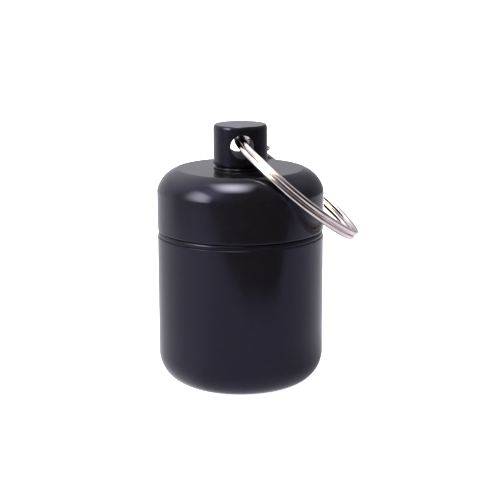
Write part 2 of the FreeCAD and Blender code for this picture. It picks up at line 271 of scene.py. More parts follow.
# %% Turn the cup
hair_edge = 0.08
fine_edge = 0.12
axis_radius = 0.05
foot_width = 4.8
foot_rise = 4.8
foot_bulge = 1.33
foot_steps = 22
bore_radius = 10.0
floor_thickness = 1.6
floor_corner = 1.0
neck_chamfer = 0.4

floor_level = foot_level + floor_thickness
foot_start = (body_radius - foot_width, foot_level)
foot_end = (body_radius, foot_level + foot_rise)
cup_corners = [(axis_radius, foot_level, 0.0)]
cup_corners += arc(foot_start, foot_end, foot_bulge, foot_steps, hair_edge)
cup_corners.append((body_radius, cup_rim, fine_edge))
cup_corners.append((neck_root_radius, cup_rim, hair_edge))
cup_corners += run((neck_root_radius, cup_rim), (neck_root_radius, neck_top - neck_chamfer), thread_rows)
cup_corners.append((neck_root_radius, neck_top - neck_chamfer, hair_edge / 2))
cup_corners.append((neck_root_radius - neck_chamfer, neck_top, fine_edge))
cup_corners.append((bore_radius, neck_top, fine_edge))
cup_corners.append((bore_radius, floor_level, floor_corner))
cup_corners.append((axis_radius, floor_level, 0.0))
cup_ridge = thread_relief(neck_thread_start, neck_root_radius, thread_depth)
cup = turned("cup", cup_corners, relief=cup_ridge)

# %% [markdown]
# ## Seal
#
# The rubber ring sits on the cup's rim round the neck, and the cap presses it down. What shows of it is a
# narrow band between two dark lines, set back a little from the metal. A torus would be the quick way, but
# pressed rubber takes the shape of its groove, so the section is an oblong with rounded corners. The upper
# outer corner is rounded most, because the dark line under the cap is the wider one.

# %% Mould the seal
seal_inner_radius = 11.7
seal_inner_edge = 0.16
seal_lower_edge = 0.18
seal_upper_edge = 0.52

seal_corners = [
    (seal_inner_radius, seal_low, seal_inner_edge),
    (seal_radius, seal_low, seal_lower_edge),
    (seal_radius, seal_high, seal_upper_edge),
    (seal_inner_radius, seal_high, seal_inner_edge),
]
seal = turned("seal", seal_corners, closed=True)

# %% [markdown]
# ## Cap
#
# The cap has the cup's diameter, a straight side, and a round shoulder up to a flat top. The shoulder is an
# arc too flat to run into the side and the top without an edge, and the two edges show as breaks in the
# reflections. The lower rim is broken more than the other outer edges of the metal, as the notch above the
# seal shows. Inside are the threaded wall, the ceiling, and the hole for the post's spigot.

# %% Turn the cap
cap_side_height = 6.5
shoulder_width = 3.3
shoulder_bulge = 0.65
shoulder_steps = 18
crown_thickness = 2.3
mouth_chamfer = 0.3
cap_rim_edge = 0.35
spigot_radius = 2.0

spigot_hole_radius = spigot_radius + seat_clearance
shoulder_start = cap_rim + cap_side_height
cap_flat_radius = cap_radius - shoulder_width
cap_ceiling = cap_top - crown_thickness
cap_mouth = cap_rim + mouth_chamfer
shoulder_low, shoulder_high = (cap_radius, shoulder_start), (cap_flat_radius, cap_top)
cap_corners = [(cap_root_radius + mouth_chamfer, cap_rim, hair_edge), (cap_radius, cap_rim, cap_rim_edge)]
cap_corners += arc(shoulder_low, shoulder_high, shoulder_bulge, shoulder_steps, hair_edge)
cap_corners.append((spigot_hole_radius, cap_top, hair_edge))
cap_corners.append((spigot_hole_radius, cap_ceiling, hair_edge))
cap_corners.append((cap_root_radius, cap_ceiling, fine_edge))
cap_corners += run((cap_root_radius, cap_ceiling), (cap_root_radius, cap_mouth), thread_rows)
cap_corners.append((cap_root_radius, cap_mouth, hair_edge))
cap_ridge = thread_relief(cap_thread_start, cap_root_radius, -thread_depth)
cap = turned("cap_shell", cap_corners, closed=True, relief=cap_ridge)

# %% [markdown]
# ## Post
#
# The post is turned with a rolled top edge, and with a groove above a thin collar where it meets the cap.
# Its spigot goes through the cap's crown and is staked over inside. Then it is cross drilled for the ring.
# A Boolean would drill it, but it leaves long thin triangles round the hole, and a gloss surface shows each
# of them. So the spun grid leaves a square open at the front and the back, and rings of points lead from
# the square to the round hole, over its rounded rim and through the post.

# %% Measure the post
hole_radius = 1.8615
hole_rim = 0.14
patch_half = 2.5
patch_cells = 24
side_cells = 40
patch_rings = 6
tunnel_steps = 8
lug_roll_height = 0.65
lug_roll_width = 0.25
lug_roll_bulge = 0.065
lug_roll_steps = 10
collar_height = 0.32
collar_edge = 0.16
groove_height = 0.45
groove_depth = 0.35
stake_radius = 2.8
stake_chamfer = 0.4

lug_base = cap_top + seat_clearance
stake_top = cap_ceiling - seat_clearance
patch_low, patch_high = hole_centre - patch_half, hole_centre + patch_half
foot_corners = [
    (axis_radius, stake_bottom, 0.0),
    (stake_radius - stake_chamfer, stake_bottom, fine_edge),
    (stake_radius, stake_bottom + stake_chamfer, fine_edge),
    (stake_radius, stake_top, hair_edge),
    (spigot_radius, stake_top, hair_edge),
    (spigot_radius, lug_base, hair_edge),
    (lug_radius, lug_base, hair_edge),
    (lug_radius, lug_base + collar_height, collar_edge),
    (lug_radius - groove_depth, lug_base + collar_height, hair_edge),
    (lug_radius, lug_base + collar_height + groove_height, hair_edge),
]
side_corners = [(lug_radius, patch_low, 0.0)]
side_corners += run((lug_radius, patch_low), (lug_radius, patch_high), patch_cells)
side_corners.append((lug_radius, patch_high, 0.0))
roll_start = (lug_radius, lug_top - lug_roll_height)
roll_end = (lug_radius - lug_roll_width, lug_top)
head_corners = arc(roll_start, roll_end, lug_roll_bulge, lug_roll_steps, hair_edge / 2)
head_corners.append((axis_radius, lug_top, 0.0))
lug_outline = softened(foot_corners + side_corners + head_corners)
patch_row = int(np.argmax(np.isclose(lug_outline[:, 1], patch_low)))

patch_angle = math.asin(patch_half / lug_radius)
front, back = -math.pi / 2, math.pi / 2
stretches = [
    (front - patch_angle, front + patch_angle, patch_cells),
    (front + patch_angle, back - patch_angle, side_cells),
    (back - patch_angle, back + patch_angle, patch_cells),
    (back + patch_angle, front - patch_angle + FULL_TURN, side_cells),
]
lug_angles = np.concatenate([np.linspace(a, b, cells, endpoint=False) for a, b, cells in stretches])
print(f"{len(lug_outline)} rows and {len(lug_angles)} columns round the post")


# %% Collect a skin
class Surface:
    """Points, normals and faces of one skin, added loop by loop."""

    def __init__(self, grid, normals):
        self.points = list(grid.reshape(-1, 3))
        self.normals = list(normals.reshape(-1, 3))
        self.faces = []

    def loop(self, points, normals):
        """Adds a loop of points and gives their numbers."""
        first = len(self.points)
        self.points += list(points)
        self.normals += list(normals)
        return list(range(first, len(self.points)))

    def strip(self, outer, inner):
        """Joins two loops by a ring of faces."""
        for index in range(len(outer)):
            beside = (index + 1) % len(outer)
            self.faces.append((outer[index], outer[beside], inner[beside], inner[index]))

    def used(self):
        """The skin without the points that no face uses."""
        kept = sorted({number for face in self.faces for number in face})
        renumbered = {number: index for index, number in enumerate(kept)}
        faces = [tuple(renumbered[number] for number in face) for face in self.faces]
        return np.array(self.points)[kept] * MM, np.array(self.normals)[kept], faces


print("a skin grows by loops, each joined to the one before")


# %% Drill the post
def square_loop(columns, first_column):
    """Numbers of the grid points round a square opening, counter-clockwise from outside."""
    cells = range(patch_cells)
    last_row, last_column = patch_row + patch_cells, first_column + patch_cells
    spots = [(patch_row, first_column + step) for step in cells]
    spots += [(patch_row + step, last_column) for step in cells]
    spots += [(last_row, last_column - step) for step in cells]
    spots += [(last_row - step, first_column) for step in cells]
    return [row * columns + column % columns for row, column in spots]


def on_side(spread, direction, side):
    """Points and normals on the post's round side, that far from the hole's middle; side is -1 in front."""
    across = spread * np.cos(direction)
    depth = side * np.sqrt(lug_radius ** 2 - across ** 2)
    points = np.stack([across, depth, hole_centre + spread * np.sin(direction)], axis=1)
    return points, np.stack([across, depth, np.zeros_like(across)], axis=1) / lug_radius


def drill(surface, loop, side):
    """Rings from a square opening over the hole's rounded rim; gives the last loop and each direction."""
    start = np.array([surface.points[number] for number in loop])
    across, rise = start[:, 0], start[:, 2] - hole_centre
    direction, spread = np.arctan2(rise, across), np.hypot(across, rise)
    for ring in range(1, patch_rings + 1):
        nearer = spread + (hole_radius + hole_rim - spread) * ring / patch_rings
        outer, loop = loop, surface.loop(*on_side(nearer, direction, side))
        surface.strip(outer, loop)
    lip, lip_normals = on_side(np.full_like(spread, hole_radius + hole_rim), direction, side)
    corner, _ = on_side(np.full_like(spread, hole_radius), direction, side)
    inside = corner - np.array([0, side * hole_rim, 0])
    inward = -np.stack([np.cos(direction), np.zeros_like(spread), np.sin(direction)], axis=1)
    for step in range(1, EDGE_STEPS + 1):
        share = step / EDGE_STEPS
        curve = lip * (1 - share) ** 2 + corner * 2 * share * (1 - share) + inside * share ** 2
        turned_in = lip_normals * (1 - share) + inward * share
        turned_in /= np.linalg.norm(turned_in, axis=1, keepdims=True)
        outer, loop = loop, surface.loop(curve, turned_in)
        surface.strip(outer, loop)
    return loop, inward


def drilled_post():
    """The turned post with its cross hole."""
    grid = spin(lug_outline, lug_angles)
    rows, columns = grid.shape[:2]
    surface = Surface(grid, grid_normals(grid, False))
    back_column = patch_cells + side_cells
    openings = [first + step for first in (0, back_column) for step in range(patch_cells)]
    patch_rows = range(patch_row, patch_row + patch_cells)
    for face in grid_faces(rows, columns, False):
        row, column = divmod(face[0], columns)
        if len(face) > 4 or row not in patch_rows or column not in openings:
            surface.faces.append(face)
    front_loop, inward = drill(surface, square_loop(columns, 0), -1)
    back_loop, _ = drill(surface, square_loop(columns, back_column), 1)
    back_loop = [back_loop[(patch_cells - index) % len(back_loop)] for index in range(len(back_loop))]
    near = np.array([surface.points[number] for number in front_loop])
    far = np.array([surface.points[number] for number in back_loop])
    loop = front_loop
    for step in range(1, tunnel_steps):
        outer, loop = loop, surface.loop(near + (far - near) * step / tunnel_steps, inward)
        surface.strip(outer, loop)
    surface.strip(loop, back_loop)
    return make_object("post", *surface.used())


post = drilled_post()

# %% [markdown]
# ## Split ring
#
# A split ring is one flattened wire wound twice, with a short step where it drops from the upper turn to
# the lower. A curve with a bevel would sweep the wire, but it can't keep the flat faces level through the
# step, so the wire is a grid again: its section is a well rounded oblong with slightly slanted sides,
# carried round the turns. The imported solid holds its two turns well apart, and here they lie nearly shut,
# as on the real ring, within the same thickness. The wire's upper end springs up a little, as it does once
# a key has been threaded on. The ring is modelled lying level and then set in the hole: a little play, then
# its lean on the shoulder. Each point keeps its level place as an attribute, because the wire's finish
# follows it.

# %% Measure the ring
wire_radius = 12.06
wire_width = 1.18
ring_thickness = 1.74
coil_gap = 0.07
wire_corner = 0.38
wire_slant = 0.06
corner_steps = 10
crossover_start = math.radians(64)
crossover = math.radians(40)
end_gap = math.radians(17)
end_spring = math.radians(36)
end_lift = 0.2
wire_steps = 360
end_round = 0.12
ring_shift = -0.673
ring_rise = 0.529
ring_lean = math.radians(39.71)
ring_tilt = math.radians(2.99)
ring_yaw = math.radians(-3.59)

wire_thickness = (ring_thickness - coil_gap) / 2
half_step = (wire_thickness + coil_gap) / 2
ring_reach = wire_radius + ring_shift
print(f"ring wire {wire_width} by {wire_thickness:.2f} mm, leaning {math.degrees(ring_lean):.1f} degrees")


# %% Wind the wire
def wire_section():
    """Rounded oblong of the wire with slanted sides, as (outwards, upwards) points."""
    half_width, half_height = wire_width / 2, wire_thickness / 2
    points = []
    for quarter in range(4):
        for step in range(corner_steps + 1):
            turn = math.pi / 2 * (quarter + step / corner_steps)
            side = math.copysign(half_width - wire_corner, 1 if quarter in (0, 3) else -1)
            face = math.copysign(half_height - wire_corner, 1 if quarter in (0, 1) else -1)
            points.append((side + wire_corner * math.cos(turn), face + wire_corner * math.sin(turn)))
    section = np.array(points)
    section[:, 0] += wire_slant * section[:, 1]
    return section


def wound_wire():
    """Grid of the wire's two turns, lying level about the origin, with rounded ends."""
    start = crossover_start + crossover + end_gap - FULL_TURN
    end = crossover_start + FULL_TURN
    middle = crossover_start + crossover / 2
    turns = np.linspace(start, end, wire_steps + 1)
    share = np.clip((turns - middle) / crossover + 0.5, 0, 1)
    sprung = np.clip(1 - (turns - start) / end_spring, 0, 1)
    level = half_step * (1 - 2 * share ** 2 * (3 - 2 * share)) + end_lift * sprung ** 2
    to_end = np.minimum(turns - start, end - turns) * wire_radius
    plump = np.sqrt(1 - np.clip(1 - to_end / end_round, 0, 1) ** 2)
    plump = np.maximum(plump, 1 - end_round)
    section = wire_section()
    out = wire_radius + plump[:, None] * section[None, :, 0]
    up = level[:, None] + plump[:, None] * section[None, :, 1]
    return np.stack([out * np.cos(turns)[:, None], out * np.sin(turns)[:, None], up], axis=2)


level_grid = wound_wire()[:, ::-1]
print(f"{level_grid.shape[0]} sections of {level_grid.shape[1]} points along the wire")

# %% Hang the ring
LEVEL_PLACE = "level_place"

play = Matrix.Rotation(ring_tilt, 3, "X") @ Matrix.Rotation(ring_yaw, 3, "Z")
attitude = np.array(Matrix.Rotation(ring_lean, 3, "Y") @ play)
from_hole = np.array([ring_reach, 0, ring_rise])
hole_middle = np.array([0, 0, hole_centre])
hung_grid = (level_grid + from_hole) @ attitude.T + hole_middle
wire_rows, wire_columns = hung_grid.shape[:2]
split_ring = make_object(
    "key_ring_wire",
    hung_grid.reshape(-1, 3) * MM,
    grid_normals(hung_grid, False).reshape(-1, 3),
    grid_faces(wire_rows, wire_columns, False),
)
level_place = split_ring.data.attributes.new(LEVEL_PLACE, "FLOAT_VECTOR", "POINT")
level_place.data.foreach_set("vector", level_grid.astype(np.float32).ravel())

# %% [markdown]
# ## Shader sums
#
# Blender's node editor shows a sum as a box with two wires. In code it reads better as a sum. The class
# below wraps one socket: plus, minus, times and the like add a Math node and give back its result, also
# where a plain number stands first. Every other node comes from its one method, which sets the node up and
# then fills its sockets.


# %% Wrap sockets
class Term:
    """A socket that can stand in a sum, and a way to add any node beside it."""

    def __init__(self, tree, socket=None):
        self.tree = tree
        self.socket = socket

    def node(self, kind, settings=None, sockets=None, output=0):
        """Adds a node, sets it up, fills its sockets and gives one of its outputs, by number or name."""
        made = self.tree.nodes.new(kind)
        for name, value in (settings or {}).items():
            if name == "stops":
                fill_ramp(made.color_ramp, value)
            else:
                setattr(made, name, value)
        for name, value in (sockets or {}).items():
            if isinstance(value, Term):
                self.tree.links.new(value.socket, made.inputs[name])
            else:
                made.inputs[name].default_value = value
        return Term(self.tree, made.outputs[output] if made.outputs else None)

    def math(self, operation, first, second=0.0):
        """Result of a Math node."""
        return self.node("ShaderNodeMath", {"operation": operation}, {0: first, 1: second})

    def __add__(self, other):
        return self.math("ADD", self, other)

    __radd__ = __add__

    def __sub__(self, other):
        return self.math("SUBTRACT", self, other)

    def __rsub__(self, other):
        return self.math("SUBTRACT", other, self)

    def __mul__(self, other):
        return self.math("MULTIPLY", self, other)

    __rmul__ = __mul__

    def __truediv__(self, other):
        return self.math("DIVIDE", self, other)

    def between(self, low, high):
        """Smooth step from 0 at low to 1 at high."""
        settings = {"interpolation_type": "SMOOTHSTEP"}
        return self.node("ShaderNodeMapRange", settings, {"Value": self, "From Min": low, "From Max": high})


def fill_ramp(ramp, stops):
    """Gives a ramp its stops, each a place and a grey level."""
    while len(ramp.elements) < len(stops):
        ramp.elements.new(1.0)
    for element, (place, level) in zip(ramp.elements, stops):
        element.position = place
        element.color = (level, level, level, 1.0)


print("sums of sockets add Math nodes")

# %% [markdown]
# ## Finishes
#
# All the aluminium shares one finish, and the ring has another, but both carry marks that run round an
# axis: a lathe tool leaves rings, and a wire drawn through a die has lines along its length. A picture of
# such marks would need to be laid out on each piece. A noise that only knows a point's distance from the
# axis and its height gives both without that, because it is the same all the way round.

# %% Start a finish
PLAIN_DETAIL = 2.0
FINE_DETAIL = 3.0
FIRST_COLOUR, SECOND_COLOUR, MIXED_COLOUR = 6, 7, 2


def new_finish(name):
    """An empty material, and a term to add its nodes with."""
    material = bpy.data.materials.new(name)
    material.use_nodes = True
    material.node_tree.nodes.clear()
    return material, Term(material.node_tree)


def place_in_millimetres(start):
    """Point on the piece, in its own frame, in millimetres."""
    place = start.node("ShaderNodeTexCoord", output="Object")
    return start.node("ShaderNodeVectorMath", {"operation": "SCALE"}, {0: place, "Scale": 1 / MM})


def height_of(vector):
    """Third coordinate of a vector."""
    return vector.node("ShaderNodeSeparateXYZ", sockets={0: vector}, output="Z")


def noise(place, scale, detail=PLAIN_DETAIL):
    """Noise at a place, from 0 to 1, with so many waves to the millimetre."""
    return place.node("ShaderNodeTexNoise", sockets={"Vector": place, "Scale": scale, "Detail": detail})


def length_over(place, axes):
    """Length of a place when only the axes marked 1 count."""
    kept = place.node("ShaderNodeVectorMath", {"operation": "MULTIPLY"}, {0: place, 1: axes})
    return place.node("ShaderNodeVectorMath", {"operation": "LENGTH"}, {0: kept}, "Value")


def round_axis(place):
    """A place that only knows its distance from the Z axis and its height."""
    radius = length_over(place, (1, 1, 0))
    return place.node("ShaderNodeCombineXYZ", sockets={"X": radius, "Z": height_of(place)})


def mixed(share, first, second):
    """Colour between two others."""
    sockets = {0: share, FIRST_COLOUR: first, SECOND_COLOUR: second}
    return share.node("ShaderNodeMix", {"data_type": "RGBA"}, sockets, MIXED_COLOUR)


def bumped(height, distance):
    """Normal of a surface with that relief, in millimetres."""
    return height.node("ShaderNodeBump", sockets={"Height": height, "Distance": distance * MM})


def surfaced(start, sockets):
    """Closes a material with a Principled shader."""
    shader = start.node("ShaderNodeBsdfPrincipled", sockets=sockets)
    start.node("ShaderNodeOutputMaterial", sockets={"Surface": shader})


print("both kinds of marks come from one noise round the axis")

# %% [markdown]
# ## Black anodising
#
# Anodised aluminium is dyed in an oxide skin as clear as glass, so it isn't a metal to look at: it is a
# black ground under a clear gloss, and a Principled shader with no metal does that. The skin is thin and
# mirrors less than glass, so its index of refraction is low. The dye is violet rather than neutral black,
# and tints what the skin mirrors head on, while a glancing look mirrors white: a Specular Tint does both.
# The sides are burnished nearly to a mirror, with a little haze from handling. The level faces, on top of
# the cap and of the post, are only faced off, so they are duller and show the tool's rings, and the drilled
# bore of the post is duller still. A few specks of dust stand on the skin.

# %% Mix the anodising
GROUND_DARK = (0.0035, 0.0031, 0.0042, 1.0)
GROUND_LIGHT = (0.0045, 0.0041, 0.0054, 1.0)
DYE_TINT = (0.58, 0.55, 1.0, 1.0)
DYE_IOR = 1.38
DUST_COLOUR = (0.07, 0.068, 0.075, 1.0)
TOOL_RINGS_PER_MM = 7.0
HAZE_PER_MM = 0.3
GRAIN_PER_MM = 9.0
DUST_PER_MM = 0.32
DUST_SPOT = (0.008, 0.02)
FACED_STEP = (0.97, 0.995)
POLISH = 0.05
HAZE_ROUGHNESS = 0.05
GRAIN_ROUGHNESS = 0.02
FACED_ROUGHNESS = 0.03
TOOL_RING_ROUGHNESS = 0.06
DUST_ROUGHNESS = 0.3
DRILLED_ROUGHNESS = 0.45
TURNED_RELIEF_SHARE = 0.10
FACED_RELIEF_SHARE = 0.5
GRAIN_RELIEF_SHARE = 0.08
SKIN_RELIEF = 0.0006


def drilled_bore(place):
    """1 inside the post's cross hole, and 0 outside it."""
    middle = (0, 0, hole_centre)
    off_hole = place.node("ShaderNodeVectorMath", {"operation": "SUBTRACT"}, {0: place, 1: middle})
    return 1 - length_over(off_hole, (1, 0, 1)).between(hole_radius, hole_radius + hole_rim)


def anodised_finish():
    """Gloss black skin of the cup, the cap and the post."""
    material, start = new_finish("black_anodised")
    place = place_in_millimetres(start)
    tool_rings = noise(round_axis(place), TOOL_RINGS_PER_MM, FINE_DETAIL)
    haze = noise(place, HAZE_PER_MM, FINE_DETAIL)
    grain = noise(place, GRAIN_PER_MM)
    facing = start.node("ShaderNodeTexCoord", output="Normal")
    faced = height_of(facing).between(*FACED_STEP)
    cells = start.node("ShaderNodeTexVoronoi", sockets={"Vector": place, "Scale": DUST_PER_MM})
    dust = 1 - cells.between(*DUST_SPOT)
    ground = mixed(haze, GROUND_DARK, GROUND_LIGHT)
    burnished = POLISH + HAZE_ROUGHNESS * haze + GRAIN_ROUGHNESS * grain
    tooled = faced * (FACED_ROUGHNESS + TOOL_RING_ROUGHNESS * tool_rings)
    relief = tool_rings * (TURNED_RELIEF_SHARE + faced * FACED_RELIEF_SHARE) + grain * GRAIN_RELIEF_SHARE
    surfaced(start, {
        "Base Color": mixed(dust, ground, DUST_COLOUR),
        "Roughness": burnished + tooled + dust * DUST_ROUGHNESS + drilled_bore(place) * DRILLED_ROUGHNESS,
        "IOR": DYE_IOR,
        "Specular Tint": DYE_TINT,
        "Normal": bumped(relief, SKIN_RELIEF),
    })
    return material


anodised = anodised_finish()
print(anodised.name, len(anodised.node_tree.nodes), "nodes")

# %% [markdown]
# ## Rubber
#
# The seal is smooth black rubber. In the photograph it can hardly be told from the metal, and mirrors the
# same light, so it shares the skin's index and tint, and is only rougher, with the fine grain that a mould
# leaves. Coarse matt rubber would look more like rubber, but not like this seal.

# %% Mix the rubber
RUBBER_DARK = (0.0033, 0.0030, 0.0040, 1.0)
RUBBER_LIGHT = (0.0045, 0.0041, 0.0054, 1.0)
BLOOM_PER_MM = 0.6
MOULD_GRAIN_PER_MM = 12.0
MOULD_GRAIN_DETAIL = 4.0
MOULD_ROUGHNESS = 0.12
MOULD_GRAIN_ROUGHNESS = 0.10
MOULD_RELIEF = 0.001


def rubber_finish():
    """Smooth black skin of the seal."""
    material, start = new_finish("seal_rubber")
    place = place_in_millimetres(start)
    mould_grain = noise(place, MOULD_GRAIN_PER_MM, MOULD_GRAIN_DETAIL)
    bloom = noise(place, BLOOM_PER_MM)
    surfaced(start, {
        "Base Color": mixed(bloom, RUBBER_DARK, RUBBER_LIGHT),
        "Roughness": MOULD_ROUGHNESS + MOULD_GRAIN_ROUGHNESS * mould_grain,
        "IOR": DYE_IOR,
        "Specular Tint": DYE_TINT,
        "Normal": bumped(mould_grain, MOULD_RELIEF),
    })
    return material


rubber = rubber_finish()
print(rubber.name, len(rubber.node_tree.nodes), "nodes")

# %% [markdown]
# ## Nickel
#
# The ring is steel wire under nickel: a warm pale metal, with the die's lines along the wire and a faint
# uneven tarnish. A plain metal with one roughness would do from afar, but the lines are what tells drawn
# wire from chrome. They follow the same noise round an axis, because the ring was modelled lying level
# about its own axis.

# %% Mix the nickel
NICKEL_BRIGHT = (0.82, 0.74, 0.72, 1.0)
NICKEL_DULL = (0.70, 0.63, 0.61, 1.0)
DIE_LINES_PER_MM = 11.0
TARNISH_PER_MM = 0.45
TARNISH_STEP = (0.4, 0.75)
NICKEL_ROUGHNESS = 0.04
DIE_LINE_ROUGHNESS = 0.04
TARNISH_ROUGHNESS = 0.04
DIE_LINE_RELIEF = 0.0008


def nickel_finish():
    """Bright plated skin of the split ring."""
    material, start = new_finish("nickel_plate")
    place = start.node("ShaderNodeAttribute", {"attribute_name": LEVEL_PLACE}, output="Vector")
    die_lines = noise(round_axis(place), DIE_LINES_PER_MM, FINE_DETAIL)
    tarnish = noise(place, TARNISH_PER_MM, FINE_DETAIL).between(*TARNISH_STEP)
    surfaced(start, {
        "Base Color": mixed(tarnish, NICKEL_BRIGHT, NICKEL_DULL),
        "Metallic": 1.0,
        "Roughness": NICKEL_ROUGHNESS + DIE_LINE_ROUGHNESS * die_lines + TARNISH_ROUGHNESS * tarnish,
        "Normal": bumped(die_lines, DIE_LINE_RELIEF),
    })
    return material


nickel = nickel_finish()
print(nickel.name, len(nickel.node_tree.nodes), "nodes")

# %% [markdown]
# ## Put the pieces on their bodies
#
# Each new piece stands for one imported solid, which then isn't drawn, and rides on the body that carries it:
# the seal turns with the cap's thread, the cap and its post climb, and the ring swings.

# %% Dress and ride
PIECES = [
    (cup, "container", "container", "anodised_black", anodised),
    (seal, "o_ring", "seal", "seal_rubber", rubber),
    (cap, "cap", "cap", "anodised_black", anodised),
    (post, "lug", "cap", "anodised_black", anodised),
    (split_ring, "split_ring", "key_ring", "nickel_steel", nickel),
]
for piece, node, body, slot, finish in PIECES:
    piece.data.materials.append(finish)
    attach(piece, body)
    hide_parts(node)
    print(piece.name, "stands for", node, "on", body)

# %% [markdown]
# ## Camera
#
# The photograph's view was found by fitting a camera to the outlines of the cup, the cap and the ring. It
# looks down a little from the front, from close by, so the low rims curve more than the high ones. The
# object sits a little left of the frame's middle, which a small turn of the camera gives without any lens
# shift.

# %% Place the camera
VIEW_AZIMUTH = math.radians(-4.79)
VIEW_ELEVATION = math.radians(12.954)
VIEW_DISTANCE = 0.220
AIM_HEIGHT = 0.0215
TURN_RIGHT = math.radians(0.402)
TURN_UP = math.radians(0.048)
ROLL = math.radians(-0.172)
LENS = 96.749
NEAREST_SHARE = 0.01

towards_viewer = Vector((math.sin(VIEW_AZIMUTH), -math.cos(VIEW_AZIMUTH), 0))
to_the_right = Vector((math.cos(VIEW_AZIMUTH), math.sin(VIEW_AZIMUTH), 0))
level_up = Vector((0, 0, 1))
sight = towards_viewer * math.cos(VIEW_ELEVATION) + level_up * math.sin(VIEW_ELEVATION)
camera_data = bpy.data.cameras.new("camera")
camera_data.lens = LENS
camera_data.clip_start = VIEW_DISTANCE * NEAREST_SHARE
camera = bpy.data.objects.new("camera", camera_data)
bpy.context.scene.collection.objects.link(camera)
camera.rotation_mode = "QUATERNION"
camera.location = level_up * AIM_HEIGHT + sight * VIEW_DISTANCE
small_turn = Euler((TURN_UP, -TURN_RIGHT, ROLL)).to_quaternion()
camera.rotation_quaternion = sight.to_track_quat("Z", "Y") @ small_turn
bpy.context.scene.camera = camera
print("camera at", [round(value, 4) for value in camera.location])

# %% [markdown]
# ## Floor
#
# The object stands on a white sweep of paper with no edge in sight. A white diffuse plane would come out
# grey, so the sweep also glows, and is then as white round the object as the photograph's ground. It is
# left out of reflections, because a later step draws with more care what the gloss mirrors of the table.

# %% Lay the floor
FLOOR_REACH = 2.0
FLOOR_COLOUR = (0.90, 0.90, 0.91, 1.0)
FLOOR_GLOW = 1.0
FLOOR_ROUGHNESS = 0.9
FIBRES_PER_MM = 0.5
WHITE = (1.0, 1.0, 1.0, 1.0)
CARD_CORNERS = [(-1, -1), (1, -1), (1, 1), (-1, 1)]


def plain_card(name, centre, across, upwards):
    """A flat card of the stage, with half sides across and upwards."""
    corners = [centre + across * x + upwards * y for x, y in CARD_CORNERS]
    mesh = bpy.data.meshes.new(name)
    mesh.from_pydata([tuple(corner) for corner in corners], [], [(0, 1, 2, 3)])
    card = bpy.data.objects.new(name, mesh)
    bpy.context.scene.collection.objects.link(card)
    return card


def level_card(name, reach):
    """A card on the floor's level that reaches so many metres each way."""
    return plain_card(name, Vector((0, 0, 0)), Vector((reach, 0, 0)), Vector((0, reach, 0)))


def white_floor():
    """The sweep that the object stands on, lit until it is white."""
    floor = level_card("floor", FLOOR_REACH)
    material, start = new_finish("white_sweep")
    fibre = noise(place_in_millimetres(start), FIBRES_PER_MM)
    surfaced(start, {
        "Base Color": mixed(fibre, FLOOR_COLOUR, WHITE),
        "Roughness": FLOOR_ROUGHNESS,
        "Emission Color": WHITE,
        "Emission Strength": FLOOR_GLOW,
    })
    floor.data.materials.append(material)
    floor.visible_glossy = False


white_floor()
print("floor reaches", FLOOR_REACH, "m each way")

# %% [markdown]
# ## Light by bearing
#
# A gloss black thing is drawn by what it mirrors, and a studio isn't equally bright all round. A picture of
# a studio could be wrapped round the scene, but a short list says the same: how bright it is at some
# bearings, in degrees from the viewer and positive to the right, with an even run between them. The list
# becomes the stops of a colour ramp. A mix of a dark and a bright shader then needs a share from 0 to 1, so
# each level is divided by the level of the bright shader.

# %% Read light by bearing
ROOM_TINT = (1.03, 1.0, 1.10, 1.0)
RAMP_MIDDLE = 0.5


def along(vector, axis):
    """How far a vector goes along a direction."""
    return vector.node("ShaderNodeVectorMath", {"operation": "DOT_PRODUCT"}, {0: vector, 1: axis}, "Value")


def by_bearing(vector, levels, full):
    """Share of full at the bearing of a vector, from levels by degrees."""
    bearing = vector.math("ARCTAN2", along(vector, to_the_right), along(vector, towards_viewer))
    stops = [(math.radians(degrees) / FULL_TURN + RAMP_MIDDLE, level / full) for degrees, level in levels]
    return vector.node("ShaderNodeValToRGB", {"stops": stops}, {0: bearing / FULL_TURN + RAMP_MIDDLE})


def blended(share, first, second):
    """Shader between two others."""
    return share.node("ShaderNodeMixShader", sockets={0: share, 1: first, 2: second})


print("bearing 0 is the viewer's, at", RAMP_MIDDLE, "of the ramp")

# %% [markdown]
# ## Table in the reflections
#
# From a little above, a side of the object mirrors the table first. How far the table reaches decides how
# high up the bright part of a side ends. The world can't give this, because it is endlessly far off, and
# then a high point and a low one mirror the same edge. So the table is a card that only reflections see:
# white, with an edge that lies nearer in front, and dimmed close by on the right, where the object keeps
# the light off it.

# %% Draw the mirrored table
TABLE_REACH = 400.0
TABLE_FULL = 1.5
TABLE_LIGHT = [
    (-180, 0.88),
    (-127, 0.98),
    (-67, 1.10),
    (-50, 1.15),
    (-30, 0.84),
    (67, 0.80),
    (127, 0.94),
    (180, 0.88),
]
TABLE_EDGE = [
    (-180, TABLE_REACH),
    (-115, TABLE_REACH),
    (-102, 135.0),
    (-50, 145.0),
    (-32, 130.0),
    (-14, 91.0),
    (8, 71.0),
    (40, 71.0),
    (50, 80.0),
    (67, 130.0),
    (115, 180.0),
    (165, 180.0),
    (180, TABLE_REACH),
]
EDGE_FADE = (0.79, 1.32)
SHADE_BEARING = math.radians(110)
SHADE_DEPTH = 0.55
SHADE_END = 44.0


